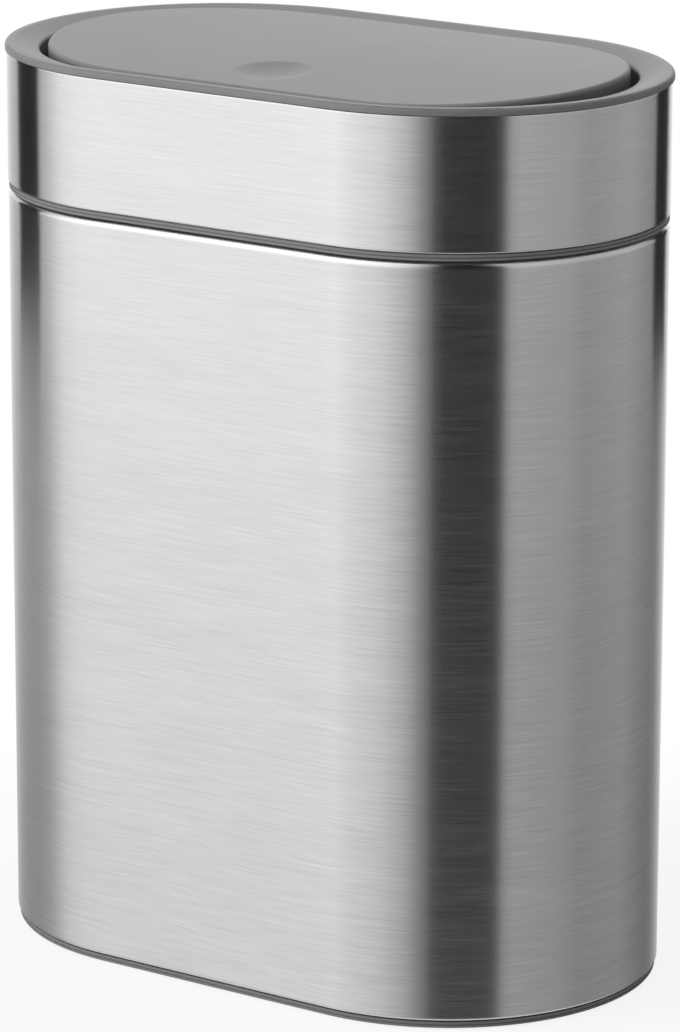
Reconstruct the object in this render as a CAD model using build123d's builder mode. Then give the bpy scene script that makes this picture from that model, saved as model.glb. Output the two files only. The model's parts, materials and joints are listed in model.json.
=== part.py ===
from build123d import *
import os
from math import atan, cos, degrees, radians, sin, sqrt

# Countertop waste bin with a push-top flap, in millimetres.
# Origin: centre of the footprint on the countertop. +X runs along the length, -Y is the
# front, +Z is up. Every upright wall follows one plan outline, a slot with round ends,
# and an "inset" is how far a wall stands inside the outer face of the steel body.

# ---------------------------------------------------------------- driving dimensions
body_length = 208.0
body_depth = 127.0

# Stack of heights, from the countertop up
pad_drop = 0.4  # how far the pads stand below the base plate
base_lip_height = 1.9
base_reveal = 0.4  # shadow gap between base lip and steel body
body_height = 223.8
seat_reveal = 0.4  # shadow gap under the lid
trim_height = 1.8
band_reveal = 0.4
band_height = 38.8
lip_reveal = 0.1
lip_height = 2.0
flap_proud = 0.9  # how far the flap's crest stands above the rim

# Steel body
shell_sheet = 0.6
shoulder_radius = 2.0
mouth_flange = 5.0
hem_radius = 0.8
hem_flange = 8.0

# Base
base_lip_inset = 0.6
base_edge_radius = 0.3
base_groove = 0.3
base_neck_inset = 2.6
pad_diameter = 12.0
pad_thickness = 1.2
pad_spread_x = 116.0
pad_spread_y = 76.0
floor_thickness = 2.0
floor_stand = 8.4  # bucket stands this far above the steel hem
floor_skirt = 1.8
floor_post_diameter = 9.0
base_screw_reach_x = 74.0
base_end_spread_y = 44.0
base_side_spread_y = 88.0

# Mouth frame, inside the shoulder of the body
frame_wall = 2.0
frame_depth = 17.0
frame_lip_width = 1.5

# Inner bucket
bucket_gap = 1.0  # between bucket rim and mouth frame
bucket_headroom = 6.2  # between bucket rim and the spigot of the lid
bucket_wall = 1.6
bucket_rim_width = 2.2
bucket_rim_drop = 6.0
bucket_draft = 2.4  # the wall leans in by this much towards the floor
bucket_floor_radius = 7.0
grip_ledge_reach = 10.0
grip_ledge_drop = 6.0
grip_ledge_thickness = 2.0

# Lid
band_sheet = 0.6
band_proud = 0.2
band_roll_radius = 0.5  # the sheet is rolled over at the top edge
band_edge_radius = 0.3
lip_overhang = 0.5
lip_radius = 1.2
rim_width = 9.6  # from the body's outer face to the edge of the opening
rim_dish = 2.1  # the rim slopes down to the opening by this much
rim_slope_start = 2.0  # the slope begins this far inside the body's outer face
rim_edge_radius = 1.0
rim_web = 2.2
rim_skirt = 1.8
rim_skirt_height = 26.5
throat_wall = 1.8
throat_depth = 18.0
collar_inset = 0.1
collar_web = 2.8
collar_groove = 0.3
collar_upstand = 11.0
spigot_gap = 0.5
spigot_wall = 1.8
spigot_depth = 8.0
gasket_seat = 0.4  # depth of the spigot's groove
gasket_height = 2.0
gasket_drop = 3.2
gasket_gap = 0.1  # between gasket and mouth frame
lid_post_diameter = 5.0
lid_post_gap = 0.2  # between a post's end and the collar
lid_post_angle = 45.0
lid_screw_reach = 9.0

# Flap
flap_gap = 2.5
flap_depth = 10.2
flap_wall = 1.8
flap_skin = 2.2
flap_edge_radius = 1.3
flap_crown_radius = 920.0  # the top is arched gently from front to rear
flap_crest_y = 19.0  # the highest line of the arch lies behind the middle
dimple_diameter = 26.0
dimple_depth = 1.5
dimple_soft_radius = 12.0
dimple_edge_distance = 20.4  # dimple centre to the front edge of the flap
dimple_boss_rim = 1.1  # how much wider than the dimple the thicker skin under it is
pan_thickness = 1.8
pan_gap = 0.2
flap_post_diameter = 6.0
flap_screw_spread_x = 116.0
flap_screw_spread_y = 36.0
weight_length = 110.0
weight_width = 12.0
weight_thickness = 4.5
weight_rear_gap = 3.9  # from the fence to the rear edge of the pan
weight_gap = 0.2
weight_fence = 1.4

# Hinge of the flap
pivot_drop = 10.9  # below the flap's crest
pin_diameter = 4.0
pin_length = 14.0
pin_end_chamfer = 0.4
pin_seat = 0.6  # thickness of the ear left behind the pin's inner end
ear_radius = 5.0
ear_thickness = 5.5
ear_recess = 1.1  # from the flap's end to the ear's outer face
stop_lug_reach = 9.5
stop_lug_thickness = 4.0
open_angle = 80.0
bush_diameter = 7.0
bush_flange_diameter = 10.0
bush_flange = 1.0
bush_length = 7.0
housing_width = 24.0
housing_proud = 0.9  # flat face of the bearing housing, inside the throat's round end
keeper_thickness = 2.0
keeper_saddle_height = 1.75  # how far the keeper reaches up round the bush
keeper_tongue_lap_x = 3.4  # how far the tongue reaches under the ear
keeper_tongue_width = 5.9
keeper_tongue_gap = 0.6  # under the turning ear
stop_lug_lap = 5.0  # how far out along the lug the open flap meets the tongue
keeper_screw_spread = 16.0
keeper_screw_reach = 7.0
rest_stop_spread = 60.0
rest_stop_width = 14.0
rest_stop_reach = 9.0
rest_stop_thickness = 3.2
rest_pad_diameter = 5.0
rest_pad_thickness = 1.0

# Screws, and the clearances that the fits share
base_screw_head = 5.4
base_screw_head_height = 1.4
base_screw_shank = 2.9
small_screw_head = 3.8
small_screw_head_height = 1.2
small_screw_shank = 2.0
cross_slot_width = 0.8
cross_slot_depth = 0.7
cross_slot_share = 0.6  # of the head's diameter
screw_end_gap = 1.0  # left past a screw's end
screw_clearance = 0.1
running_fit = 0.05
push_fit = 0.02
slip_gap = 0.2

# ---------------------------------------------------------------- heights and places
base_underside = pad_drop
base_lip_top = base_underside + base_lip_height
body_bottom = base_lip_top + base_reveal
body_top = body_bottom + body_height
seat_z = body_top + seat_reveal
trim_top = seat_z + trim_height
band_bottom = trim_top + band_reveal
band_top = band_bottom + band_height
lip_bottom = band_top + lip_reveal
rim_top = lip_bottom + lip_height
opening_z = rim_top - rim_dish
web_underside = opening_z - rim_web
flap_top_z = rim_top + flap_proud
flap_bottom = flap_top_z - flap_depth
skin_underside = flap_top_z - flap_skin
pivot_z = flap_top_z - pivot_drop
throat_bottom = opening_z - throat_depth

hem_top = body_bottom + shell_sheet
spigot_bottom = seat_z - spigot_depth
bucket_bottom = hem_top + floor_stand
bucket_height = spigot_bottom - bucket_headroom - bucket_bottom
bucket_top = bucket_bottom + bucket_height
mouth_inset = mouth_flange + frame_lip_width
rim_skirt_inset = band_sheet - band_proud + slip_gap
rim_skirt_inner = rim_skirt_inset + rim_skirt
throat_outer = rim_width - throat_wall
flap_inset = rim_width + flap_gap
pan_inset = flap_inset + flap_wall + pan_gap
pan_top = flap_bottom + pan_thickness

half_length = body_length / 2
half_depth = body_depth / 2
arc_centre_x = half_length - half_depth
throat_end_x = half_length - rim_width
flap_end_x = half_length - flap_inset
flap_half_depth = half_depth - flap_inset
fence_half_depth = weight_width / 2 + weight_gap + weight_fence
weight_offset = half_depth - pan_inset - weight_rear_gap - fence_half_depth
ear_outer_x = flap_end_x - ear_recess
ear_inner_x = ear_outer_x - ear_thickness
housing_end_x = half_length - rim_skirt_inner
dimple_y = -(flap_half_depth - dimple_edge_distance)
crown_rise = sqrt(flap_crown_radius**2 - (dimple_y - flap_crest_y) ** 2)
dimple_z = flap_top_z - flap_crown_radius + crown_rise
housing_face_x = throat_end_x - housing_proud
bush_outer_x = housing_face_x + bush_length
bush_hole = bush_diameter + 2 * push_fit
skirt_inner_radius = half_depth - rim_skirt_inner
keeper_end_x = arc_centre_x + sqrt(skirt_inner_radius**2 - housing_width**2 / 4) - slip_gap
keeper_screw_x = (housing_face_x + keeper_end_x) / 2
rest_pad_low = flap_bottom - rest_pad_thickness
rest_pad_y = flap_half_depth - rest_pad_diameter / 2

# The dimple's section turns from its hollow arc to its shoulder at this point
dimple_rise = dimple_depth + push_fit
dimple_slope = 2 * atan(2 * dimple_rise / dimple_diameter)
dimple_hollow_radius = dimple_diameter / 2 / sin(dimple_slope) - dimple_soft_radius
dimple_turn = (
    dimple_hollow_radius * sin(dimple_slope),
    dimple_hollow_radius * (1 - cos(dimple_slope)) - dimple_depth,
)
post_bottom = seat_z + collar_web + lid_post_gap
keeper_screw_points = [
    (x, y)
    for x in (-keeper_screw_x, keeper_screw_x)
    for y in (-keeper_screw_spread / 2, keeper_screw_spread / 2)
]

# When the flap is fully open, the rear face of its lug stands against this plane
stop_face_y = (
    stop_lug_thickness / 2 * sin(radians(open_angle))
    - stop_lug_lap * cos(radians(open_angle))
)

# Kinds of screw: head diameter, head height, shank diameter
base_screw = (base_screw_head, base_screw_head_height, base_screw_shank)
small_screw = (small_screw_head, small_screw_head_height, small_screw_shank)

# Lid posts stand midway between the throat wall and the rim's skirt
post_inset = (rim_skirt_inner + throat_outer) / 2
post_line = half_depth - post_inset
post_arc_x = arc_centre_x + post_line * cos(radians(lid_post_angle))
post_arc_y = post_line * sin(radians(lid_post_angle))
lid_post_points = [(0, post_line), (0, -post_line)] + [
    (x, y) for x in (-post_arc_x, post_arc_x) for y in (-post_arc_y, post_arc_y)
]
flap_screw_points = [
    (x, y)
    for x in (-flap_screw_spread_x / 2, 0, flap_screw_spread_x / 2)
    for y in (-flap_screw_spread_y / 2, flap_screw_spread_y / 2)
]
base_screw_points = [
    (x, y)
    for x, spread_y in (
        (-base_screw_reach_x, base_end_spread_y),
        (0, base_side_spread_y),
        (base_screw_reach_x, base_end_spread_y),
    )
    for y in (-spread_y / 2, spread_y / 2)
]


# ---------------------------------------------------------------- shared shapes
def outline(inset, mode=Mode.ADD):
    """Draws the bin's plan outline, moved inwards by inset."""
    return SlotOverall(body_length - 2 * inset, body_depth - 2 * inset, mode=mode)


def slab(low, high, inset, mode=Mode.ADD):
    """Adds or cuts a solid slab of the plan outline between two heights."""
    with BuildSketch(Plane.XY.offset(low)) as plan:
        outline(inset)
    extrude(plan.sketch, amount=high - low, mode=mode)


def wall(low, high, outer_inset, inner_inset, mode=Mode.ADD):
    """Adds or cuts an upright wall that follows the plan outline."""
    with BuildSketch(Plane.XY.offset(low)) as plan:
        outline(outer_inset)
        outline(inner_inset, mode=Mode.SUBTRACT)
    extrude(plan.sketch, amount=high - low, mode=mode)


def groove_ring(low, high, inset, size):
    """Cuts a groove, as wide as deep, round the middle of an edge between two heights."""
    middle = (low + high) / 2
    wall(middle - size / 2, middle + size / 2, inset, inset + size, mode=Mode.SUBTRACT)


def crowned(inset, sink, mode=Mode.ADD):
    """Adds or cuts the flap's outline up to its arched top, or to a skin's depth below it."""
    with BuildPart(mode=Mode.PRIVATE) as shape:
        slab(flap_bottom, flap_top_z, inset)
        with BuildSketch(Plane.YZ.offset(-half_length)) as crown:
            with Locations((flap_crest_y, flap_top_z - flap_crown_radius)):
                Circle(flap_crown_radius - sink)
        extrude(crown.sketch, amount=body_length, mode=Mode.INTERSECT)
    add(shape.part, mode=mode)


def posts(points, low, high, diameter, mode=Mode.ADD):
    """Adds or cuts round posts that stand on the given points."""
    with BuildSketch(Plane.XY.offset(low)) as plan:
        with Locations(*points):
            Circle(diameter / 2)
    extrude(plan.sketch, amount=high - low, mode=mode)


def block(x_range, y_range, z_range, mode=Mode.ADD):
    """Adds or cuts a block given by its lowest and highest coordinates."""
    middle = [(low + high) / 2 for low, high in (x_range, y_range, z_range)]
    sides = [high - low for low, high in (x_range, y_range, z_range)]
    with Locations(tuple(middle)):
        Box(*sides, mode=mode)


def rod(x_range, diameter, mode=Mode.ADD):
    """Adds or cuts a round rod on the hinge line, between two places along X."""
    low, high = x_range
    with BuildSketch(Plane.YZ.offset(low)) as section:
        with Locations((0, pivot_z)):
            Circle(diameter / 2)
    extrude(section.sketch, amount=high - low, mode=mode)


def end_range(side, inner, outer):
    """The range along X between two distances from the middle, at one end of the bin."""
    return tuple(sorted((side * inner, side * outer)))


def screws(points, low, high, kind):
    """Adds screws that point up from low to high, with a cross recess in each head."""
    head, head_height, shank = kind
    posts(points, low, low + head_height, head)
    posts(points, low + head_height, high, shank)
    slot_length = head * cross_slot_share
    with Locations(*[(x, y, low + cross_slot_depth / 2) for x, y in points]):
        Box(slot_length, cross_slot_width, cross_slot_depth, mode=Mode.SUBTRACT)
        Box(cross_slot_width, slot_length, cross_slot_depth, mode=Mode.SUBTRACT)


def screw_cores(points, low, high, kind):
    """Cuts the holes that screw shanks go through or bite into."""
    _, _, shank = kind
    posts(points, low, high, shank + 2 * screw_clearance, mode=Mode.SUBTRACT)


def screw_seats(points, low, high, kind):
    """Cuts a recess for each screw head, and the hole for its shank, through a plate."""
    head, head_height, _ = kind
    posts(points, low, low + head_height, head + 2 * slip_gap, mode=Mode.SUBTRACT)
    screw_cores(points, low, high, kind)


# ---------------------------------------------------------------- bin body
# One sheet of brushed stainless steel: upright wall, rounded shoulder with a flat
# flange round the mouth, and a hem turned in under the floor.
with BuildPart() as body_shell:
    slab(body_bottom, body_top, 0)
    fillet(body_shell.edges().group_by(Axis.Z)[-1], shoulder_radius)
    fillet(body_shell.edges().group_by(Axis.Z)[0], hem_radius)
    offset(amount=-shell_sheet, mode=Mode.SUBTRACT)
    slab(body_top - 2 * shoulder_radius, body_top, mouth_flange, mode=Mode.SUBTRACT)
    slab(body_bottom, body_bottom + 2 * shoulder_radius, hem_flange, mode=Mode.SUBTRACT)

# Moulded base plate under the hem, whose lip shows as a thin grey line at the foot
with BuildPart() as base_plate:
    slab(base_underside, base_lip_top, base_lip_inset)
    fillet(base_plate.edges().group_by(Axis.Z)[0], base_edge_radius)
    groove_ring(base_underside, base_lip_top, base_lip_inset, base_groove)
    slab(base_lip_top, body_bottom, base_neck_inset)
    with BuildSketch(Plane.XY.offset(base_underside)) as pad_seats:
        with GridLocations(pad_spread_x, pad_spread_y, 2, 2):
            Circle(pad_diameter / 2 + slip_gap)
    extrude(pad_seats.sketch, amount=pad_thickness - pad_drop, mode=Mode.SUBTRACT)
    screw_seats(base_screw_points, base_underside, body_bottom, base_screw)

# Four soft pads keep the bin from sliding
with BuildPart() as foot_pads:
    with BuildSketch():
        with GridLocations(pad_spread_x, pad_spread_y, 2, 2):
            Circle(pad_diameter / 2)
    extrude(amount=pad_thickness)

# Inner floor: clamps the hem, stiffens the foot of the shell and carries the bucket
floor_inset = shell_sheet + slip_gap
with BuildPart() as floor_panel:
    slab(hem_top, hem_top + floor_thickness, floor_inset + hem_radius)
    wall(hem_top, bucket_bottom, floor_inset + hem_radius, floor_inset + hem_radius + floor_skirt)
    posts(base_screw_points, body_bottom, bucket_bottom, floor_post_diameter)
    screw_cores(base_screw_points, body_bottom, bucket_bottom - screw_end_gap, base_screw)

with BuildPart() as base_screws:
    screws(base_screw_points, base_underside, bucket_bottom - 2 * screw_end_gap, base_screw)

# Moulded frame inside the shoulder: it covers the raw edge of the steel mouth, and its
# lip is the seat of the lid
frame_top = body_top - shell_sheet
with BuildPart() as mouth_frame:
    slab(frame_top - frame_depth, frame_top, floor_inset)
    fillet(mouth_frame.edges().group_by(Axis.Z)[-1], shoulder_radius - shell_sheet + slip_gap)
    slab(frame_top - frame_depth, frame_top - frame_wall, floor_inset + frame_wall, mode=Mode.SUBTRACT)
    slab(frame_top, seat_z, mouth_flange + slip_gap)
    slab(frame_top - frame_depth, seat_z, mouth_inset, mode=Mode.SUBTRACT)

# ---------------------------------------------------------------- inner bucket
bucket_rim_inset = mouth_inset + bucket_gap
bucket_wall_inset = bucket_rim_inset + bucket_rim_width - bucket_wall
with BuildPart() as inner_bucket:
    with BuildSketch(Plane.XY.offset(bucket_bottom)):
        outline(bucket_wall_inset + bucket_draft)
    with BuildSketch(Plane.XY.offset(bucket_top)):
        outline(bucket_wall_inset)
    loft(ruled=True)
    fillet(inner_bucket.edges().group_by(Axis.Z)[0], bucket_floor_radius)
    offset(amount=-bucket_wall, openings=inner_bucket.faces().sort_by(Axis.Z)[-1])
    # Turned-down rim
    wall(bucket_top - bucket_wall, bucket_top, bucket_rim_inset, bucket_wall_inset)
    wall(
        bucket_top - bucket_rim_drop,
        bucket_top,
        bucket_rim_inset,
        bucket_rim_inset + bucket_rim_width / 2,
    )
    # A ledge across each end, for the fingers that lift the bucket
    ledge_top = bucket_top - grip_ledge_drop
    ledge_x = half_length - bucket_wall_inset - bucket_wall - grip_ledge_reach
    with BuildSketch(Plane.XY.offset(ledge_top - grip_ledge_thickness)) as ledges:
        outline(bucket_wall_inset + bucket_wall / 2)
        Rectangle(2 * ledge_x, body_depth, mode=Mode.SUBTRACT)
    extrude(ledges.sketch, amount=grip_ledge_thickness)

# ---------------------------------------------------------------- lid
# Band of the same brushed sheet as the body
with BuildPart() as lid_band:
    slab(band_bottom, band_top, -band_proud)
    fillet(lid_band.edges().group_by(Axis.Z)[-1], band_roll_radius)
    fillet(lid_band.edges().group_by(Axis.Z)[0], band_edge_radius)
    slab(band_bottom, band_top, band_sheet - band_proud, mode=Mode.SUBTRACT)

# Rim: an overhanging lip, a top face that dishes down to the opening, a skirt behind the
# band, the throat round the opening, and what carries the flap and the screws
skirt_bottom = lip_bottom - rim_skirt_height
with BuildPart() as lid_rim:
    slab(lip_bottom, rim_top, -band_proud - lip_overhang)
    fillet(lid_rim.edges().group_by(Axis.Z)[-1], lip_radius)
    slab(skirt_bottom, lip_bottom, rim_skirt_inset)
    with BuildSketch(Plane.XY.offset(opening_z)) as dish_foot:
        outline(rim_width)
    dish_slope = degrees(atan((rim_width - rim_slope_start) / rim_dish))
    extrude(dish_foot.sketch, amount=rim_dish, taper=-dish_slope, mode=Mode.SUBTRACT)
    slab(skirt_bottom, rim_top, rim_width, mode=Mode.SUBTRACT)
    near_opening = (opening_z - push_fit, opening_z + push_fit)
    opening_edges = lid_rim.edges().filter_by_position(Axis.Z, *near_opening)
    fillet(opening_edges, rim_edge_radius)
    wall(skirt_bottom, web_underside, rim_skirt_inner, throat_outer, mode=Mode.SUBTRACT)
    slab(skirt_bottom, throat_bottom, rim_skirt_inner, mode=Mode.SUBTRACT)
    # Screw posts
    posts(lid_post_points, post_bottom, web_underside, lid_post_diameter)
    screw_cores(lid_post_points, post_bottom, post_bottom + lid_screw_reach, small_screw)
    # Bearing housing at each end, with a slot that takes the bush from below
    for side in (-1, 1):
        housing = end_range(side, housing_face_x, housing_end_x + slip_gap)
        block(housing, (-housing_width / 2, housing_width / 2), (throat_bottom, web_underside))
        slot = end_range(side, housing_face_x, bush_outer_x + slip_gap)
        rod(slot, bush_hole, mode=Mode.SUBTRACT)
        block(slot, (-bush_hole / 2, bush_hole / 2), (throat_bottom, pivot_z), mode=Mode.SUBTRACT)
    screw_cores(keeper_screw_points, throat_bottom, throat_bottom + keeper_screw_reach, small_screw)
    # Ledges at the rear, under the pads on which the closed flap rests
    throat_rear_y = half_depth - rim_width
    for middle in (-rest_stop_spread / 2, rest_stop_spread / 2):
        block(
            (middle - rest_stop_width / 2, middle + rest_stop_width / 2),
            (throat_rear_y - rest_stop_reach, throat_rear_y + throat_wall / 2),
            (rest_pad_low - rest_stop_thickness, rest_pad_low),
        )

# Collar: the thin grooved line under the band, and the spigot that drops into the mouth
spigot_inset = mouth_inset + spigot_gap
gasket_top = seat_z - gasket_drop
with BuildPart() as lid_collar:
    slab(seat_z, trim_top, collar_inset)
    groove_ring(seat_z, trim_top, collar_inset, collar_groove)
    slab(trim_top, trim_top + collar_upstand, rim_skirt_inset)
    slab(spigot_bottom, seat_z, spigot_inset)
    slab(seat_z + collar_web, trim_top + collar_upstand, rim_skirt_inner, mode=Mode.SUBTRACT)
    slab(spigot_bottom, trim_top + collar_upstand, spigot_inset + spigot_wall, mode=Mode.SUBTRACT)
    wall(
        gasket_top - gasket_height,
        gasket_top,
        spigot_inset,
        spigot_inset + gasket_seat,
        mode=Mode.SUBTRACT,
    )
    screw_seats(lid_post_points, seat_z, seat_z + collar_web, small_screw)

# Soft ring in the spigot's groove, which steadies the lid in the mouth
with BuildPart() as spigot_gasket:
    wall(
        gasket_top - gasket_height,
        gasket_top,
        mouth_inset + gasket_gap,
        spigot_inset + gasket_seat,
    )

with BuildPart() as lid_screws:
    screws(lid_post_points, seat_z, post_bottom + lid_screw_reach - screw_end_gap, small_screw)

# Soft pads on the rear ledges
with BuildPart() as rest_pads:
    posts(
        [(-rest_stop_spread / 2, rest_pad_y), (rest_stop_spread / 2, rest_pad_y)],
        rest_pad_low,
        flap_bottom,
        rest_pad_diameter,
    )

# ---------------------------------------------------------------- hinge, right end
# Flanged plain bush, fixed in the lid
with BuildPart() as pivot_bush_right:
    rod((housing_face_x - bush_flange, housing_face_x), bush_flange_diameter)
    rod((housing_face_x, bush_outer_x), bush_diameter)
    pin_bore = pin_diameter + 2 * running_fit
    rod((housing_face_x - bush_flange, bush_outer_x), pin_bore, mode=Mode.SUBTRACT)

# Stub pin, pressed into the flap's ear
pin_inner_x = ear_inner_x + pin_seat
with BuildPart() as pivot_pin_right:
    rod((pin_inner_x, pin_inner_x + pin_length), pin_diameter)
    chamfer(pivot_pin_right.edges().filter_by(GeomType.CIRCLE), pin_end_chamfer)

# Keeper: closes the housing's slot under the bush, and its tongue stops the open flap
keeper_bottom = throat_bottom - keeper_thickness
keeper_fin_half = bush_diameter / 2 - slip_gap
with BuildPart() as bush_keeper_right:
    block(
        (housing_face_x, keeper_end_x),
        (-housing_width / 2, housing_width / 2),
        (keeper_bottom, throat_bottom),
    )
    block(
        (housing_face_x, bush_outer_x),
        (-keeper_fin_half, keeper_fin_half),
        (throat_bottom, pivot_z - bush_diameter / 2 + keeper_saddle_height),
    )
    rod((housing_face_x, bush_outer_x), bush_hole, mode=Mode.SUBTRACT)
    block(
        (ear_outer_x - keeper_tongue_lap_x, housing_face_x),
        (stop_face_y, stop_face_y + keeper_tongue_width),
        (keeper_bottom, pivot_z - ear_radius - keeper_tongue_gap),
    )
    screw_seats(keeper_screw_points, keeper_bottom, throat_bottom, small_screw)

# ---------------------------------------------------------------- hinge, left end
with BuildPart() as pivot_bush_left:
    mirror(pivot_bush_right.part, about=Plane.YZ)

with BuildPart() as pivot_pin_left:
    mirror(pivot_pin_right.part, about=Plane.YZ)

with BuildPart() as bush_keeper_left:
    mirror(bush_keeper_right.part, about=Plane.YZ)

with BuildPart() as keeper_screws:
    keeper_screw_top = throat_bottom + keeper_screw_reach - screw_end_gap
    screws(keeper_screw_points, keeper_bottom, keeper_screw_top, small_screw)

# ---------------------------------------------------------------- flap
# Top shell with a soft-edged dimple at the front that shows where to push
with BuildPart() as flap_top:
    crowned(flap_inset, 0)
    fillet(flap_top.faces().sort_by(Axis.Z)[-1].edges(), flap_edge_radius)
    crowned(flap_inset + flap_wall, flap_skin, mode=Mode.SUBTRACT)
    # Thicker skin under the dimple, square to the arch at that place
    dimple_normal = (0, dimple_y - flap_crest_y, crown_rise)
    dimple_seat = Plane(origin=(0, dimple_y, dimple_z), x_dir=(1, 0, 0), z_dir=dimple_normal)
    with BuildSketch(dimple_seat.offset(-flap_skin - dimple_depth)) as boss:
        Circle(dimple_diameter / 2 + dimple_boss_rim)
    extrude(boss.sketch, amount=dimple_depth + slip_gap)
    # Half section of the dimple: a hollow arc, then a round shoulder up to the flap's top
    half_plane = Plane(origin=(0, dimple_y, dimple_z), x_dir=(1, 0, 0), z_dir=dimple_seat.y_dir * -1)
    with BuildSketch(half_plane) as dimple_half:
        with BuildLine():
            hollow = TangentArc((0, -dimple_depth), dimple_turn, tangent=(1, 0))
            shoulder = TangentArc(dimple_turn, (dimple_diameter / 2, push_fit), tangent=hollow % 1)
            corner = (dimple_diameter / 2, dimple_depth)
            Polyline(shoulder @ 1, corner, (0, dimple_depth), hollow @ 0)
        make_face()
    dimple_axis = Axis((0, dimple_y, dimple_z), dimple_normal)
    revolve(dimple_half.sketch, axis=dimple_axis, mode=Mode.SUBTRACT)
    # Ears on the hinge line: each has a lug that meets the keeper's tongue when open
    for side in (-1, 1):
        ear = end_range(side, ear_inner_x, ear_outer_x)
        rod(ear, 2 * ear_radius)
        block(ear, (-ear_radius, ear_radius), (pivot_z, skin_underside))
        block(
            ear,
            (-stop_lug_reach, 0),
            (pivot_z - stop_lug_thickness / 2, pivot_z + stop_lug_thickness / 2),
        )
        pin_hole = end_range(side, pin_inner_x, flap_end_x)
        rod(pin_hole, pin_diameter + 2 * push_fit, mode=Mode.SUBTRACT)
    # Screw posts
    posts(flap_screw_points, pan_top, skin_underside, flap_post_diameter)
    screw_cores(flap_screw_points, pan_top, skin_underside, small_screw)

# Pan that closes the flap from below, with a fence round the counterweight
notch_x = ear_inner_x - slip_gap
notch_half = stop_lug_reach + slip_gap
with BuildPart() as flap_pan:
    slab(flap_bottom, pan_top, pan_inset)
    for side in (-1, 1):
        notch = end_range(side, notch_x, half_length)
        block(notch, (-notch_half, notch_half), (flap_bottom, pan_top), mode=Mode.SUBTRACT)
    with BuildSketch(Plane.XY.offset(pan_top)) as fence:
        with Locations((0, weight_offset)):
            Rectangle(*[side + 2 * (weight_gap + weight_fence) for side in (weight_length, weight_width)])
            Rectangle(
                *[side + 2 * weight_gap for side in (weight_length, weight_width)],
                mode=Mode.SUBTRACT,
            )
    extrude(fence.sketch, amount=weight_thickness / 2)
    screw_seats(flap_screw_points, flap_bottom, pan_top, small_screw)

# Steel bar behind the hinge line, whose weight closes the flap
with BuildPart() as counterweight:
    block(
        (-weight_length / 2, weight_length / 2),
        (weight_offset - weight_width / 2, weight_offset + weight_width / 2),
        (pan_top, pan_top + weight_thickness),
    )

with BuildPart() as flap_screws:
    screws(flap_screw_points, flap_bottom, skin_underside - screw_end_gap, small_screw)

# ---------------------------------------------------------------- export
pieces = {
    "body_shell": body_shell,
    "base_plate": base_plate,
    "foot_pads": foot_pads,
    "floor_panel": floor_panel,
    "base_screws": base_screws,
    "mouth_frame": mouth_frame,
    "inner_bucket": inner_bucket,
    "lid_band": lid_band,
    "lid_rim": lid_rim,
    "lid_collar": lid_collar,
    "spigot_gasket": spigot_gasket,
    "lid_screws": lid_screws,
    "rest_pads": rest_pads,
    "pivot_bush_left": pivot_bush_left,
    "pivot_bush_right": pivot_bush_right,
    "bush_keeper_left": bush_keeper_left,
    "bush_keeper_right": bush_keeper_right,
    "keeper_screws": keeper_screws,
    "flap_top": flap_top,
    "flap_pan": flap_pan,
    "counterweight": counterweight,
    "flap_screws": flap_screws,
    "pivot_pin_left": pivot_pin_left,
    "pivot_pin_right": pivot_pin_right,
}
os.makedirs("parts", exist_ok=True)
for name, piece in pieces.items():
    piece.part.label = name
    export_step(piece.part, f"parts/{name}.step")
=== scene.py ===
# %% [markdown]
# # Dressing a push-top countertop bin
# The real object is a slim waste bin for a kitchen counter: a brushed steel body with
# round ends, a lid of the same steel, and a grey flap that tips when it is pushed.
# Its shapes come from a CAD model, which is loaded here as a fixed frame. Blender adds
# what a drawing can't show: the surfaces, the light that they live in, and a few pieces
# that are worth making finer than the CAD has them.

# %% Load the frame
import json
import math
import bpy
from mathutils import Matrix, Vector


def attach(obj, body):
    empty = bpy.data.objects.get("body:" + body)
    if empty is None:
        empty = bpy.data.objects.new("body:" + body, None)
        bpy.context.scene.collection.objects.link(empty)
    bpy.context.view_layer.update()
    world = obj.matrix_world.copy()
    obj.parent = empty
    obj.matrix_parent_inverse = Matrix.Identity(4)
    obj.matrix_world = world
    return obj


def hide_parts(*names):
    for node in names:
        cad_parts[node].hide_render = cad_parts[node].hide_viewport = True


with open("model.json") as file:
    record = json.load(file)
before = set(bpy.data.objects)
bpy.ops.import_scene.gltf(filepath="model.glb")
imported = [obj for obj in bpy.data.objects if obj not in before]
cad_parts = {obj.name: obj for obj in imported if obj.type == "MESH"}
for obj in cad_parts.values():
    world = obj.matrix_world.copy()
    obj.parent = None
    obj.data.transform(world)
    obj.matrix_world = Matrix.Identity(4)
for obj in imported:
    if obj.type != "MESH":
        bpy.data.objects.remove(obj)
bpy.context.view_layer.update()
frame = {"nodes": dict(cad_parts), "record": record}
nodes = frame["nodes"]
mm = 0.001


# %% [markdown]
# ## Three small helpers
# A colour is written as people know it, as an sRGB hex value, but shaders calculate with
# linear light. One function turns the first into the second, so that every colour in
# this file means what a colour picker shows.
#
# Node trees are long to write out, because each node needs settings, values and links.
# One function does all three: a value that is a socket is linked, any other is stored.

# %% Colours, nodes and materials
def linear(hex_colour):
    """The linear RGBA of an sRGB colour such as "8c8c8c"."""
    channels = [int(hex_colour[i:i + 2], 16) / 255 for i in (0, 2, 4)]
    light = [c / 12.92 if c <= 0.04045 else ((c + 0.055) / 1.055) ** 2.4 for c in channels]
    return (*light, 1.0)


def add(tree, kind, inputs=None, **settings):
    """Adds a node, with its settings, and with its inputs filled or linked."""
    node = tree.nodes.new(kind)
    for name, value in settings.items():
        setattr(node, name, value)
    for key, value in (inputs or {}).items():
        if isinstance(value, bpy.types.NodeSocket):
            tree.links.new(value, node.inputs[key])
        else:
            node.inputs[key].default_value = value
    return node


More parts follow.
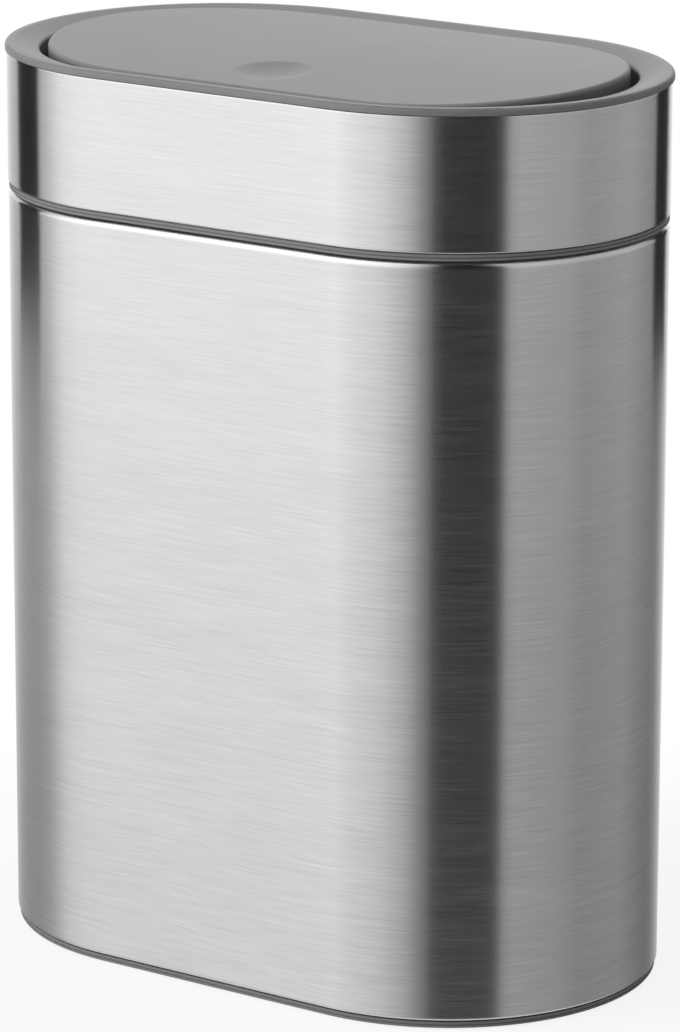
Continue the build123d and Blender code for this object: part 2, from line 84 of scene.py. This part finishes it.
def new_material(name, **shader_values):
    """A material with a Principled shader, whose sockets are set by name."""
    material = bpy.data.materials.new(name)
    material.use_nodes = True
    shader = material.node_tree.nodes["Principled BSDF"]
    for key, value in shader_values.items():
        shader.inputs[key.replace("_", " ")].default_value = value
    return material, material.node_tree, shader


# %% [markdown]
# ## Brushed stainless steel
# The body and the lid band are stainless steel sheet, ground with a belt that runs round
# the bin, so that it is covered in fine scratches that all lie level. A scratch spreads
# light across itself: a lamp's reflection is drawn out into an upright band, while from
# left to right it stays almost sharp. That is why a brushed bin shows tall light and dark
# stripes, and it is what the shader's anisotropy does along an upright tangent.
#
# Noise that is stretched fourteen millimetres level and a fifth of a millimetre upright
# gives the scratches. Real ones are finer, but they would vanish at this distance. They
# change the roughness and the brightness a little, and they turn the normal slightly
# left and right from row to row, which frays the edges of the stripes as real brushing
# does. A second, wider noise stands for the faint cloudiness of rolled sheet.

# %% Steel
scratch_length = 14.0
scratch_pitch = 0.2
cloud_length = 45.0
cloud_height = 9.0
scratch_turn = 0.008  # how far a row of scratches turns the normal, as a slope
cloud_share = 0.2  # of the grain, the rest being scratches
sharpest, dullest = 0.17, 0.22  # roughness, from the smoothest to the coarsest grain

steel, tree, shader = new_material(
    "brushed_stainless_steel", Metallic=1.0, Anisotropic=1.0
)
place = add(tree, "ShaderNodeTexCoord").outputs["Object"]
along = 1 / (scratch_length * mm)
scratch_place = add(
    tree, "ShaderNodeMapping", {"Vector": place, "Scale": (along, along, 1 / (scratch_pitch * mm))}
)
scratches = add(
    tree, "ShaderNodeTexNoise", {"Vector": scratch_place.outputs[0], "Scale": 1.0, "Detail": 3.0}
)
along = 1 / (cloud_length * mm)
cloud_place = add(
    tree, "ShaderNodeMapping", {"Vector": place, "Scale": (along, along, 1 / (cloud_height * mm))}
)
clouds = add(
    tree, "ShaderNodeTexNoise", {"Vector": cloud_place.outputs[0], "Scale": 1.0, "Detail": 2.0}
)
grain = add(
    tree,
    "ShaderNodeMix",
    {"Factor": cloud_share, "A": scratches.outputs["Fac"], "B": clouds.outputs["Fac"]},
)
tone = add(tree, "ShaderNodeValToRGB", {"Fac": grain.outputs["Result"]})
tone.color_ramp.elements[0].position = 0.3
tone.color_ramp.elements[0].color = linear("c6c5c4")
tone.color_ramp.elements[1].position = 0.7
tone.color_ramp.elements[1].color = linear("d2d1d0")
dull = add(
    tree,
    "ShaderNodeMapRange",
    {
        "Value": grain.outputs["Result"],
        "From Min": 0.3,
        "From Max": 0.7,
        "To Min": sharpest,
        "To Max": dullest,
    },
)
facing = add(tree, "ShaderNodeNewGeometry").outputs["Normal"]
level = add(
    tree, "ShaderNodeVectorMath", {0: facing, 1: (0.0, 0.0, 1.0)}, operation="CROSS_PRODUCT"
)
turn = add(
    tree,
    "ShaderNodeMapRange",
    {"Value": scratches.outputs["Fac"], "To Min": -scratch_turn, "To Max": scratch_turn},
)
sideways = add(
    tree,
    "ShaderNodeVectorMath",
    {0: level.outputs[0], "Scale": turn.outputs[0]},
    operation="SCALE",
)
frayed = add(tree, "ShaderNodeVectorMath", {0: facing, 1: sideways.outputs[0]}, operation="ADD")
frayed = add(tree, "ShaderNodeVectorMath", {0: frayed.outputs[0]}, operation="NORMALIZE")
upright = add(tree, "ShaderNodeCombineXYZ", {"X": 0.01, "Y": 0.01, "Z": 1.0})
tree.links.new(tone.outputs["Color"], shader.inputs["Base Color"])
tree.links.new(dull.outputs[0], shader.inputs["Roughness"])
tree.links.new(frayed.outputs[0], shader.inputs["Normal"])
tree.links.new(upright.outputs[0], shader.inputs["Tangent"])


# %% [markdown]
# ## Moulded plastics, rubber and small metal
# Rim, flap, collar and base are grey ABS from a mould that was spark-eroded to a satin
# grain. It is a dense field of tiny pits about a fifth of a millimetre wide, which takes
# the shine off without looking rough. The bucket and the inner floor are polypropylene,
# darker and a little waxy. Both are one recipe with other numbers: a fine noise for the
# bump and the roughness, and a slow one that changes tone over centimetres, because
# moulded plastic is never quite even.

# %% Plastics and rubbers
shine_spread = 0.06  # how much the pits change the roughness, up and down
drift_size = 35.0


def moulded(name, dark, light, grain_size, grain_depth, roughness, **shader_values):
    """A moulded material: even colour, a fine grain of bump and shine, and a slow drift of tone."""
    material, tree, shader = new_material(name, **shader_values)
    place = add(tree, "ShaderNodeTexCoord").outputs["Object"]
    pits = add(
        tree,
        "ShaderNodeTexNoise",
        {"Vector": place, "Scale": 1 / (grain_size * mm), "Detail": 2.0, "Roughness": 0.6},
    )
    drift = add(
        tree,
        "ShaderNodeTexNoise",
        {"Vector": place, "Scale": 1 / (drift_size * mm), "Detail": 2.0},
    )
    tone = add(tree, "ShaderNodeValToRGB", {"Fac": drift.outputs["Fac"]})
    tone.color_ramp.elements[0].position = 0.25
    tone.color_ramp.elements[0].color = linear(dark)
    tone.color_ramp.elements[1].position = 0.75
    tone.color_ramp.elements[1].color = linear(light)
    shine = add(
        tree,
        "ShaderNodeMapRange",
        {
            "Value": pits.outputs["Fac"],
            "To Min": roughness - shine_spread,
            "To Max": roughness + shine_spread,
        },
    )
    bump = add(
        tree,
        "ShaderNodeBump",
        {"Height": pits.outputs["Fac"], "Strength": 1.0, "Distance": grain_depth * mm},
    )
    tree.links.new(tone.outputs["Color"], shader.inputs["Base Color"])
    tree.links.new(shine.outputs[0], shader.inputs["Roughness"])
    tree.links.new(bump.outputs[0], shader.inputs["Normal"])
    return material


abs_grey = moulded(
    "satin_moulded_abs", "7a7a7a", "80807f", 0.22, 0.006, 0.44, Specular_IOR_Level=0.3
)
pp_dark = moulded("moulded_polypropylene", "363738", "3b3c3d", 0.30, 0.010, 0.40, IOR=1.49)
acetal = moulded("natural_acetal", "dedbd0", "e6e3d9", 0.40, 0.002, 0.28, IOR=1.48)
rubber = moulded("black_moulded_rubber", "1b1b1b", "222222", 0.25, 0.010, 0.72, IOR=1.50)
tpe = moulded("grey_thermoplastic_elastomer", "5f6061", "666768", 0.30, 0.008, 0.62, IOR=1.50)

# %% [markdown]
# Screws, hinge pins and the counterweight are zinc-plated steel. Bright zinc is a mirror
# seen through a faint bluish haze, a little uneven where the bath has dried off.

# %% Zinc plate
zinc, tree, shader = new_material("bright_zinc_plate", Metallic=1.0)
place = add(tree, "ShaderNodeTexCoord").outputs["Object"]
haze = add(tree, "ShaderNodeTexNoise", {"Vector": place, "Scale": 1 / (2.5 * mm), "Detail": 4.0})
tone = add(tree, "ShaderNodeValToRGB", {"Fac": haze.outputs["Fac"]})
tone.color_ramp.elements[0].position = 0.3
tone.color_ramp.elements[0].color = linear("b4b8bc")
tone.color_ramp.elements[1].position = 0.7
tone.color_ramp.elements[1].color = linear("ced1d4")
dull = add(
    tree, "ShaderNodeMapRange", {"Value": haze.outputs["Fac"], "To Min": 0.22, "To Max": 0.38}
)
tree.links.new(tone.outputs["Color"], shader.inputs["Base Color"])
tree.links.new(dull.outputs[0], shader.inputs["Roughness"])

# %% [markdown]
# ## Dressing the CAD nodes
# Each CAD node already names the finish that it takes from the model's record. A table
# from those names to the materials above dresses them all at once.

# %% Give every node its finish
finishes = {
    "brushed_stainless": steel,
    "satin_grey_abs": abs_grey,
    "dark_grey_pp": pp_dark,
    "natural_acetal": acetal,
    "black_rubber": rubber,
    "grey_tpe": tpe,
    "zinc_plated_steel": zinc,
}
for part in frame["record"]["subparts"]:
    slot = nodes[part["node"]].material_slots[0]
    slot.material = finishes[part["material_slot"]]

# %% [markdown]
# ## The steel sheet as a swept section
# Body and lid band follow one rule: a thin section carried round an outline that is a
# slot with half-round ends. That suits Geometry Nodes. The section is a small mesh of
# points, the tree lays out the outline from the length and depth, and Curve to Mesh
# carries the one along the other. Doing it here rather than keeping the CAD triangles
# gives clean strips of faces, so that reflections run down the steel without a ripple.
#
# Smooth shading bends the normals of a flat face towards its neighbours. A pair of extra
# points close to each bend keeps that inside a narrow strip, so that the flats stay flat.

# %% The outline and sweep tree
def outline_sweep():
    """A node tree that carries the incoming section round the bin's plan outline."""
    tree = bpy.data.node_groups.new("section_round_outline", "GeometryNodeTree")
    ports = tree.interface
    ports.new_socket("Section", in_out="INPUT", socket_type="NodeSocketGeometry")
    for name in ("Length", "Depth", "Bend strip"):
        ports.new_socket(name, in_out="INPUT", socket_type="NodeSocketFloat")
    ports.new_socket("Steps round an end", in_out="INPUT", socket_type="NodeSocketInt")
    ports.new_socket("Finish", in_out="INPUT", socket_type="NodeSocketMaterial")
    ports.new_socket("Mesh", in_out="OUTPUT", socket_type="NodeSocketGeometry")
    given = add(tree, "NodeGroupInput").outputs
    steps = given["Steps round an end"]

    def calc(operation, *values):
        filled = dict(enumerate(values))
        return add(tree, "ShaderNodeMath", filled, operation=operation).outputs[0]

    # Each end has steps + 1 points on its arc, and one more on the flat at either side
    points_per_end = calc("ADD", steps, 3.0)
    outline = add(tree, "GeometryNodeMeshLine", {"Count": calc("MULTIPLY", points_per_end, 2.0)})
    index = add(tree, "GeometryNodeInputIndex").outputs[0]
    end = calc("FLOOR", calc("DIVIDE", index, points_per_end))
    step = calc("SUBTRACT", calc("SUBTRACT", index, calc("MULTIPLY", end, points_per_end)), 1.0)
    arc_step = calc("MINIMUM", calc("MAXIMUM", step, 0.0), steps)
    on_flat = calc("ABSOLUTE", calc("SUBTRACT", step, arc_step))
    half_turn = calc("ADD", calc("DIVIDE", arc_step, steps), end)
    angle = calc("MULTIPLY", calc("SUBTRACT", half_turn, 0.5), math.pi)
    radius = calc("MULTIPLY", given["Depth"], 0.5)
    arc_centre = calc("SUBTRACT", calc("MULTIPLY", given["Length"], 0.5), radius)
    side = calc("SUBTRACT", 1.0, calc("MULTIPLY", end, 2.0))
    base_x = calc("SUBTRACT", arc_centre, calc("MULTIPLY", on_flat, given["Bend strip"]))
    x = calc("ADD", calc("MULTIPLY", base_x, side), calc("MULTIPLY", radius, calc("COSINE", angle)))
    y = calc("MULTIPLY", radius, calc("SINE", angle))
    laid_out = add(
        tree,
        "GeometryNodeSetPosition",
        {
            "Geometry": outline.outputs[0],
            "Position": add(tree, "ShaderNodeCombineXYZ", {"X": x, "Y": y}).outputs[0],
        },
    )
    path = add(tree, "GeometryNodeMeshToCurve", {"Mesh": laid_out.outputs[0]})
    path = add(tree, "GeometryNodeSetSplineCyclic", {"Geometry": path.outputs[0], "Cyclic": True})
    path = add(tree, "GeometryNodeSetCurveNormal", {"Curve": path.outputs[0]}, mode="Z_UP")
    section = add(tree, "GeometryNodeMeshToCurve", {"Mesh": given["Section"]})
    swept = add(
        tree,
        "GeometryNodeCurveToMesh",
        {"Curve": path.outputs[0], "Profile Curve": section.outputs[0]},
    )
    bend = add(tree, "GeometryNodeInputMeshEdgeAngle").outputs["Unsigned Angle"]
    sharp = add(tree, "FunctionNodeCompare", {"A": bend, "B": math.radians(40)}, operation="GREATER_THAN")
    creased = add(
        tree,
        "GeometryNodeSetShadeSmooth",
        {"Geometry": swept.outputs[0], "Selection": sharp.outputs[0], "Shade Smooth": False},
        domain="EDGE",
    )
    finished = add(
        tree,
        "GeometryNodeSetMaterial",
        {"Geometry": creased.outputs[0], "Material": given["Finish"]},
    )
    add(tree, "NodeGroupOutput", {"Mesh": finished.outputs[0]})
    return tree


# %% [markdown]
# A tree's inputs belong to the modifier, which knows them by an identifier and not by
# their name, so a helper looks the identifiers up. It also turns the result into a plain
# mesh and drops the modifier, so that what is kept is simple geometry.

# %% Run a tree and keep its mesh
def grow(name, tree, start_mesh, **values):
    """Runs a node tree on a mesh and returns a new object that holds the plain result."""
    source = bpy.data.objects.new(name + "_source", start_mesh)
    bpy.context.scene.collection.objects.link(source)
    modifier = source.modifiers.new("grow", "NODES")
    modifier.node_group = tree
    for item in tree.interface.items_tree:
        key = item.name.replace(" ", "_").lower()
        if item.in_out == "INPUT" and key in values:
            modifier[item.identifier] = values[key]
    source.update_tag()
    evaluated = source.evaluated_get(bpy.context.evaluated_depsgraph_get())
    mesh = bpy.data.meshes.new_from_object(evaluated)
    source.modifiers.clear()
    bpy.data.objects.remove(source)
    mesh.name = name
    piece = bpy.data.objects.new(name, mesh)
    bpy.context.scene.collection.objects.link(piece)
    print(name, "has", len(mesh.polygons), "faces")
    return piece


def section_mesh(points):
    """A closed section from (outwards, up) points in millimetres.

    Along a path whose normals are turned Z up, a section's Y axis points down, so the
    heights change sign, and the points run backwards to keep the faces turned outwards."""
    mesh = bpy.data.meshes.new("section")
    corners = [(out * mm, -up * mm, 0.0) for out, up in reversed(points)]
    sides = [(i, (i + 1) % len(points)) for i in range(len(points))]
    mesh.from_pydata(corners, sides, [])
    return mesh


def arc(centre, radius, start, stop, steps):
    """Points on an arc of a section, from one angle to another, in degrees."""
    angles = [math.radians(start + (stop - start) * i / steps) for i in range(steps + 1)]
    return [(centre[0] + radius * math.cos(a), centre[1] + radius * math.sin(a)) for a in angles]


# %% [markdown]
# ### Body shell
# One sheet makes the upright wall, the rounded shoulder with the flange under the lid,
# and the tight bead at the foot where the sheet is turned in. Both bends catch a bright
# line of light in the photograph, so they are drawn with enough points to stay round.

# %% Sweep the body shell
body_length, body_depth = 208.0, 127.0
end_steps = 96
bend_strip = 2.0
shell_low, shell_high = 2.7, 226.5
sheet = 0.6
shoulder, hem = 2.0, 0.8
mouth_flange, hem_flange = 5.0, 8.0
strip = 0.3

shoulder_centre = (-shoulder, shell_high - shoulder)
hem_centre = (-hem, shell_low + hem)
shell_section = (
    [(-hem_flange, shell_low)]
    + [(-hem - strip, shell_low)]
    + arc(hem_centre, hem, -90, 0, 8)
    + [(0.0, shell_low + hem + strip), (0.0, shell_high - shoulder - strip)]
    + arc(shoulder_centre, shoulder, 0, 90, 12)
    + [(-mouth_flange, shell_high), (-mouth_flange, shell_high - sheet)]
    + arc(shoulder_centre, shoulder - sheet, 90, 0, 12)
    + [(-sheet, shell_high - shoulder - strip), (-sheet, shell_low + hem + strip)]
    + arc(hem_centre, hem - sheet, 0, -90, 4)
    + [(-hem_flange, shell_low + sheet)]
)
sweep = outline_sweep()
body = grow(
    "steel_body",
    sweep,
    section_mesh(shell_section),
    length=body_length * mm,
    depth=body_depth * mm,
    bend_strip=bend_strip * mm,
    steps_round_an_end=end_steps,
    finish=steel,
)
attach(body, "bin_body")
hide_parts("body_shell")

# %% [markdown]
# ### Lid band
# The band is the same sheet, a fifth of a millimetre proud of the body. Its top edge is
# rolled over, which shows as a thin light line under the lip of the rim, and its bottom
# edge is rounded enough to catch another.

# %% Sweep the lid band
band_low, band_high = 229.1, 267.9
proud = 0.2
roll, edge = 0.5, 0.3
band_section = (
    [(proud - sheet, band_low)]
    + arc((proud - edge, band_low + edge), edge, -90, 0, 6)
    + [(proud, band_low + edge + strip), (proud, band_high - roll - strip)]
    + arc((proud - roll, band_high - roll), roll, 0, 90, 8)
    + [(proud - sheet, band_high)]
)
band = grow(
    "steel_lid_band",
    sweep,
    section_mesh(band_section),
    length=body_length * mm,
    depth=body_depth * mm,
    bend_strip=bend_strip * mm,
    steps_round_an_end=end_steps,
    finish=steel,
)
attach(band, "lid")
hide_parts("lid_band")

# %% [markdown]
# ## Floor and background
# The photograph has a pure white ground. White comes from the background itself and not
# from more light: to a camera ray the world is plain white, and the floor glows white
# too, apart from a patch round the bin where enough of the pale paper is left to take a
# faint shadow. To a mirror ray the floor lets the studio behind it show, as a glossy table
# would in a photographer's tent, so that the steel's stripes run down to the foot.

# %% Floor
floor_mesh = bpy.data.meshes.new("floor")
reach = 6.0
floor_mesh.from_pydata(
    [(-reach, -reach, 0.0), (reach, -reach, 0.0), (reach, reach, 0.0), (-reach, reach, 0.0)],
    [],
    [(0, 1, 2, 3)],
)
floor = bpy.data.objects.new("floor", floor_mesh)
bpy.context.scene.collection.objects.link(floor)

paper = bpy.data.materials.new("pale_studio_paper")
paper.use_nodes = True
tree = paper.node_tree
tree.nodes.clear()
shadow_start, shadow_end = 110 * mm, 240 * mm  # the patch that takes the shadow
glow_at_foot = 0.86
place = add(tree, "ShaderNodeTexCoord").outputs["Object"]
distance = add(tree, "ShaderNodeVectorMath", {0: place}, operation="LENGTH").outputs["Value"]
glow_share = add(
    tree,
    "ShaderNodeMapRange",
    {
        "Value": distance,
        "From Min": shadow_start,
        "From Max": shadow_end,
        "To Min": glow_at_foot,
        "To Max": 1.0,
    },
    interpolation_type="SMOOTHSTEP",
)
ray = add(tree, "ShaderNodeLightPath").outputs
glow = add(
    tree,
    "ShaderNodeMath",
    {0: glow_share.outputs[0], 1: ray["Is Camera Ray"]},
    operation="MULTIPLY",
)
matt = add(tree, "ShaderNodeBsdfDiffuse", {"Color": linear("f2f2f0")})
white = add(tree, "ShaderNodeEmission", {"Color": (1.0, 1.0, 1.0, 1.0), "Strength": 1.0})
ground = add(tree, "ShaderNodeMixShader", {0: glow.outputs[0], 1: matt.outputs[0], 2: white.outputs[0]})
clear = add(tree, "ShaderNodeBsdfTransparent")
ground = add(
    tree, "ShaderNodeMixShader", {0: ray["Is Glossy Ray"], 1: ground.outputs[0], 2: clear.outputs[0]}
)
add(tree, "ShaderNodeOutputMaterial", {"Surface": ground.outputs[0]})
floor_mesh.materials.append(paper)

# %% [markdown]
# ## The studio that the steel sees
# Polished metal has no look of its own: it shows the room. The stripes in the photograph
# say what stood there. From the front, going to the right: a large bright panel at the
# front left, a dark gap round the camera, a dimmer panel on the right, and narrow gaps
# and cards behind. The world is that ring of panels for mirror rays. A colour ramp over
# the compass angle of the ray holds it, at angles read back from the stripes. The panels
# are brighter towards the top, and under them lies a white table: that is why rounded
# edges that look down, such as the foot of the steel, show as thin bright lines.

# %% World
world = bpy.data.worlds.new("studio")
bpy.context.scene.world = world
world.use_nodes = True
tree = world.node_tree
tree.nodes.clear()
# Compass angle in degrees, from the front (-Y) towards the right (+X), and brightness
studio_ring = [
    (-180, 0.34),
    (-165, 0.65),
    (-155, 1.0),
    (-131, 0.73),
    (-117, 0.55),
    (-103, 0.46),
    (-88, 0.455),
    (-75, 0.565),
    (-68.6, 0.745),
    (-60, 0.99),
    (-48, 1.085),
    (-37, 1.1),
    (-30, 1.155),
    (-18, 1.0),
    (-6.5, 0.9),
    (-1, 0.83),
    (4.5, 0.71),
    (9.8, 0.61),
    (15, 0.46),
    (18, 0.33),
    (23, 0.19),
    (25.7, 0.07),
    (31, 0.02),
    (46, 0.01),
    (57, 0.02),
    (60.4, 0.08),
    (65, 0.387),
    (70, 0.45),
    (97, 0.41),
    (110, 0.352),
    (140, 0.417),
    (166.6, 0.285),
]
heading = add(tree, "ShaderNodeSeparateXYZ", {0: add(tree, "ShaderNodeTexCoord").outputs["Generated"]})
back = add(tree, "ShaderNodeMath", {0: heading.outputs["Y"], 1: -1.0}, operation="MULTIPLY")
compass = add(
    tree, "ShaderNodeMath", {0: heading.outputs["X"], 1: back.outputs[0]}, operation="ARCTAN2"
)
turned = add(
    tree,
    "ShaderNodeMapRange",
    {"Value": compass.outputs[0], "From Min": -math.pi, "From Max": math.pi},
)
ring = add(tree, "ShaderNodeValToRGB", {"Fac": turned.outputs[0]})
stops = ring.color_ramp.elements
while len(stops) < len(studio_ring):
    stops.new(0.5)
for stop, (angle, brightness) in zip(stops, studio_ring):
    stop.position = (angle + 180) / 360
    stop.color = (brightness, brightness, brightness, 1.0)
# Brightness follows the upward part of the ray's direction, between these two
dim_below, bright_above = -0.36, -0.03
dimmest, brightest = 0.62, 1.75
upward = add(
    tree,
    "ShaderNodeMapRange",
    {
        "Value": heading.outputs["Z"],
        "From Min": dim_below,
        "From Max": bright_above,
        "To Min": dimmest,
        "To Max": brightest,
    },
)
graded = add(
    tree,
    "ShaderNodeVectorMath",
    {0: ring.outputs["Color"], "Scale": upward.outputs[0]},
    operation="SCALE",
)
table_share = add(
    tree,
    "ShaderNodeMapRange",
    {"Value": heading.outputs["Z"], "From Min": -0.5, "From Max": -0.75},
)
panels = add(
    tree,
    "ShaderNodeMix",
    {"Factor": table_share.outputs[0], "A": graded.outputs[0], "B": (1.0, 1.0, 1.0, 1.0)},
    data_type="RGBA",
)
ray = add(tree, "ShaderNodeLightPath").outputs
soft = add(
    tree,
    "ShaderNodeMix",
    {"Factor": ray["Is Glossy Ray"], "A": (0.28, 0.28, 0.28, 1.0), "B": panels.outputs["Result"]},
    data_type="RGBA",
)
seen = add(
    tree,
    "ShaderNodeMix",
    {"Factor": ray["Is Camera Ray"], "A": soft.outputs["Result"], "B": (1.0, 1.0, 1.0, 1.0)},
    data_type="RGBA",
)
light = add(tree, "ShaderNodeBackground", {"Color": seen.outputs["Result"], "Strength": 1.0})
add(tree, "ShaderNodeOutputWorld", {"Surface": light.outputs[0]})

# %% [markdown]
# ## Two dark cards beside the bin
# The dark strips at the far left and right of the steel are sharp near the lid and fade
# out down the body. Something far away would run all the way down, so these are the
# reflections of two dark cards that stood close to the bin. Only mirror rays see them.

# %% Dark cards
card_black = bpy.data.materials.new("black_studio_card")
card_black.use_nodes = True
tree = card_black.node_tree
tree.nodes.clear()
unlit = add(tree, "ShaderNodeEmission", {"Color": (0.03, 0.03, 0.03, 1.0), "Strength": 1.0})
add(tree, "ShaderNodeOutputMaterial", {"Surface": unlit.outputs[0]})


def dark_card(name, corners):
    """An upright card between two floor points and two heights, in millimetres."""
    (x1, y1), (x2, y2), (low, high) = corners
    mesh = bpy.data.meshes.new(name)
    points = [(x1, y1, low), (x2, y2, low), (x2, y2, high), (x1, y1, high)]
    mesh.from_pydata([Vector(point) * mm for point in points], [], [(0, 1, 2, 3)])
    mesh.materials.append(card_black)
    card = bpy.data.objects.new(name, mesh)
    bpy.context.scene.collection.objects.link(card)
    card.visible_camera = card.visible_diffuse = card.visible_shadow = False


dark_card("card_left", ((-312, -105), (-312, 10), (140, 350)))
dark_card("card_back_right", ((65, 270), (165, 270), (130, 350)))

# %% [markdown]
# ## Lamps
# The plastic shows where the light comes from: the top is brightest, the front a little
# less, and what faces right is much darker. So there is a soft lamp overhead and a large
# one at the front left. Both are left out of mirror rays, because the ring of panels
# already stands for them there.

# %% Soft lamps
def soft_lamp(name, place, size, power):
    """A square area lamp that looks at the middle of the bin."""
    lamp = bpy.data.lights.new(name, "AREA")
    lamp.shape = "SQUARE"
    lamp.size = size
    lamp.energy = power
    holder = bpy.data.objects.new(name, lamp)
    holder.location = place
    aim = Vector((0.0, 0.0, 0.15)) - Vector(place)
    holder.rotation_euler = aim.to_track_quat("-Z", "Y").to_euler()
    holder.visible_glossy = False
    bpy.context.scene.collection.objects.link(holder)


soft_lamp("overhead", (0.0, 0.2, 1.7), 1.2, 6.5)
soft_lamp("front_left", (-0.85, -1.25, 0.85), 1.0, 19.0)

# %% [markdown]
# ## Camera
# The camera stands where the photographer's did. The numbers come from fitting a camera
# to the outlines of the body and the lid: it is a long lens about 1.6 metres away,
# 34.5 degrees round to the right and 15 degrees above, so upright lines stay upright.

# %% Camera
azimuth, elevation, roll = (math.radians(a) for a in (34.5359, 15.0331, 0.14675))
target = Vector((2.0672, 0.0, 130.7363)) * mm
away = 1620.609 * mm
toward = Vector(
    (
        math.sin(azimuth) * math.cos(elevation),
        -math.cos(azimuth) * math.cos(elevation),
        math.sin(elevation),
    )
)
level_right = Vector((math.cos(azimuth), math.sin(azimuth), 0.0))
right = math.cos(roll) * level_right + math.sin(roll) * toward.cross(level_right)
up = toward.cross(right)
lens = bpy.data.cameras.new("camera")
lens.lens = 190.02
lens.sensor_width = 36.0
lens.clip_start, lens.clip_end = 0.05, 30.0
camera = bpy.data.objects.new("camera", lens)
turn_camera = Matrix((right, up, toward)).transposed().to_4x4()
camera.matrix_world = Matrix.Translation(target + away * toward) @ turn_camera
bpy.context.scene.collection.objects.link(camera)
bpy.context.scene.camera = camera

# %% [markdown]
# ## Finish
# The Standard view transform shows colours as they are written.

# %% View settings
bpy.context.scene.view_settings.view_transform = "Standard"
